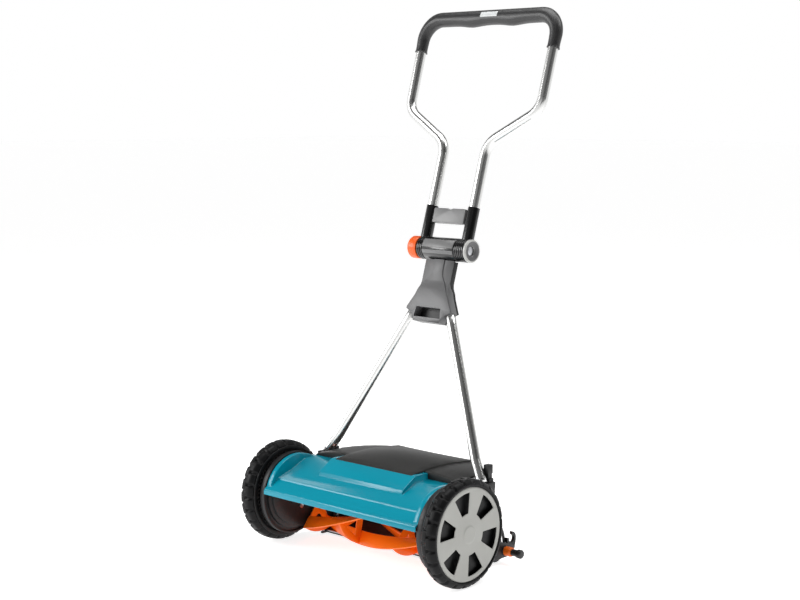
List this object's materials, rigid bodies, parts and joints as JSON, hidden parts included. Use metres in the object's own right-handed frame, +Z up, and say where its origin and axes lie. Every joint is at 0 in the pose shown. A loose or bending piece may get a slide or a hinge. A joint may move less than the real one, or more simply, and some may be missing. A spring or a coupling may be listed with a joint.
{
  "type": "reel mower",
  "caption": "Hand-pushed reel mower: spoked wheels gear a twisted-blade reel past a bedknife, under a cover and hood, with a rear roller and a tall folding handle.",
  "frame": {"origin": "on the ground, in the middle of the footprint", "axes": "+Z up, +Y backwards towards the handle, cutting side and wheels towards -Y, +X to the right of someone facing the handle side from the front"},
  "size_m": [0.542, 0.4956, 1.1079],
  "materials": {
    "tyre": "moulded rubber, matt",
    "rim_plastic": "moulded, satin",
    "gear_plastic": "moulded, satin",
    "cap_grey": "moulded, fine satin",
    "bronze": "sintered bronze",
    "zinc": "zinc plated",
    "steel": "machined",
    "gear_steel": "machined, oiled",
    "chassis_black": "moulded, satin",
    "teal": "moulded, satin gloss",
    "hood_grey": "moulded, fine texture",
    "reel_orange": "powder coated",
    "bar_black": "enamelled",
    "knife_steel": "ground edge",
    "latch_orange": "moulded",
    "knob_black": "moulded",
    "arm_steel": "black coated",
    "roller_black": "moulded",
    "tube_silver": "satin silver",
    "grey_plastic": "moulded, satin",
    "panel_grey": "moulded, satin",
    "black_plastic": "moulded, satin",
    "ring_grey": "moulded, satin",
    "soft_grip": "soft foam grip",
    "inlay": "moulded",
    "button_orange": "moulded",
    "spring_steel": "drawn wire"
  },
  "bodies": {
    "chassis": {"axles": "zinc", "axle_clips": "zinc", "left_side_plate": "chassis_black", "right_side_plate": "chassis_black", "tie_rods": "zinc", "fasteners": "zinc", "front_cover": "teal", "rear_hood": "hood_grey", "left_bearing": "steel", "right_bearing": "steel", "adjusting_screws": "zinc", "left_latch_housing": "latch_orange", "right_latch_housing": "latch_orange", "left_lower_tube": "tube_silver", "right_lower_tube": "tube_silver", "yoke_front": "grey_plastic", "yoke_back": "black_plastic", "hinge_core": "black_plastic", "barrel_panel": "panel_grey", "hinge_pin": "steel"},
    "left_wheel": {"left_tyre": "tyre", "left_rim": "rim_plastic", "left_ring_gear": "gear_plastic", "left_hub_cap": "cap_grey", "left_bush": "bronze"},
    "right_wheel": {"right_tyre": "tyre", "right_rim": "rim_plastic", "right_ring_gear": "gear_plastic", "right_hub_cap": "cap_grey", "right_bush": "bronze"},
    "reel": {"reel_shaft": "steel", "reel_spiders": "reel_orange", "reel_blades": "reel_orange", "left_pinion": "gear_steel", "right_pinion": "gear_steel", "drive_pawls": "gear_steel", "pinion_clips": "zinc"},
    "bedknife_unit": {"bedknife_bar": "bar_black", "bedknife": "knife_steel", "bedknife_screws": "zinc"},
    "roller_frame": {"left_roller_arm": "arm_steel", "right_roller_arm": "arm_steel", "roller_shaft": "steel"},
    "roller": {"rear_roller": "roller_black"},
    "left_latch": {"left_latch_pin": "steel", "left_latch_knob": "knob_black", "left_latch_spring": "spring_steel"},
    "right_latch": {"right_latch_pin": "steel", "right_latch_knob": "knob_black", "right_latch_spring": "spring_steel"},
    "upper_handle": {"left_bracket": "black_plastic", "right_bracket": "black_plastic", "bracket_bridge": "panel_grey", "end_ring": "ring_grey", "upper_tube": "tube_silver", "grip_front": "soft_grip", "grip_back": "soft_grip", "grip_inlay": "inlay"},
    "button": {"release_button": "button_orange", "button_spring": "spring_steel"}
  },
  "joints": [
    {"name": "reel_spin", "type": "hinge", "parent": "chassis", "child": "reel", "pos_m": [0, -0.08332, 0.09], "axis": [1, 0, 0], "continuous": true},
    {"name": "left_wheel_spin", "type": "hinge", "parent": "chassis", "child": "left_wheel", "pos_m": [0, -0.1427, 0.105], "axis": [1, 0, 0], "continuous": true},
    {"name": "right_wheel_spin", "type": "hinge", "parent": "chassis", "child": "right_wheel", "pos_m": [0, -0.1427, 0.105], "axis": [1, 0, 0], "continuous": true},
    {"name": "bedknife_adjust", "type": "hinge", "parent": "chassis", "child": "bedknife_unit", "pos_m": [0, -0.0527, 0.011], "axis": [1, 0, 0], "range_deg": [0, 2]},
    {"name": "height_adjust", "type": "hinge", "parent": "chassis", "child": "roller_frame", "pos_m": [0, -0.0307, 0.036], "axis": [-1, 0, 0], "range_deg": [0, 67.5]},
    {"name": "roller_spin", "type": "hinge", "parent": "roller_frame", "child": "roller", "pos_m": [0, 0.0263, 0.02], "axis": [1, 0, 0], "continuous": true},
    {"name": "left_latch_pull", "type": "slide", "parent": "chassis", "child": "left_latch", "axis": [-1, 0, 0], "range_m": [0, 0.006], "stiffness_N_per_m": 400, "springref_m": -0.005, "deforming": ["left_latch_spring"]},
    {"name": "right_latch_pull", "type": "slide", "parent": "chassis", "child": "right_latch", "axis": [1, 0, 0], "range_m": [0, 0.006], "stiffness_N_per_m": 400, "springref_m": -0.005, "deforming": ["right_latch_spring"]},
    {"name": "handle_fold", "type": "hinge", "parent": "chassis", "child": "upper_handle", "pos_m": [0, 0.0867, 0.613], "axis": [1, 0, 0], "range_deg": [0, 150]},
    {"name": "button_press", "type": "slide", "parent": "upper_handle", "child": "button", "axis": [1, 0, 0], "range_m": [0, 0.003], "stiffness_N_per_m": 400, "springref_m": -0.005, "deforming": ["button_spring"]}
  ],
  "couplings": [
    {"joint": "left_wheel_spin", "follows": "reel_spin", "ratio": 0.20968},
    {"joint": "right_wheel_spin", "follows": "reel_spin", "ratio": 0.20968}
  ]
}
